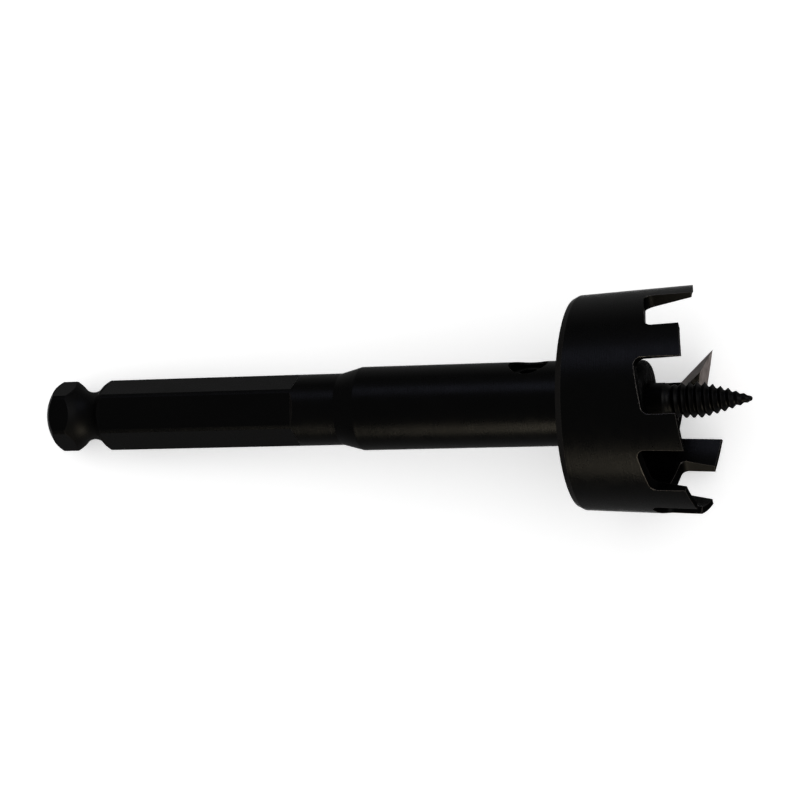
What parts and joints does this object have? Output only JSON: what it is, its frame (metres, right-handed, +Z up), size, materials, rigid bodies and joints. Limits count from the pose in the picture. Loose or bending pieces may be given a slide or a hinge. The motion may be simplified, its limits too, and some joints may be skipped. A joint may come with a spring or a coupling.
{
  "type": "self-feed bit",
  "caption": "Wood-boring bit: hexagonal quick-change shank, round barrel, and an open toothed cutter cup with a lip cutter and a threaded feed screw at its centre.",
  "frame": {"origin": "on the floor, under the middle of the box round the whole bit, lying as it rests", "axes": "+X along the bit towards the feed screw's tip, with the bit's own axis rising 7.4 degrees that way, because it lies on the end of a shank flat and on the back edge of its cup, rolled 4.75 degrees off that flat, onto the corner at the flat's end; +Z up; +Y to the left when looking along +X"},
  "size_m": [0.1256, 0.0372, 0.0389],
  "materials": {
    "body_steel": "satin black oxide on turned and milled tool steel",
    "screw_steel": "satin black oxide on turned and threaded steel",
    "set_screw_steel": "dull black oxide on alloy steel"
  },
  "bodies": {
    "root": {"bit_body": "body_steel", "feed_screw": "screw_steel", "set_screw": "set_screw_steel"}
  },
  "joints": []
}
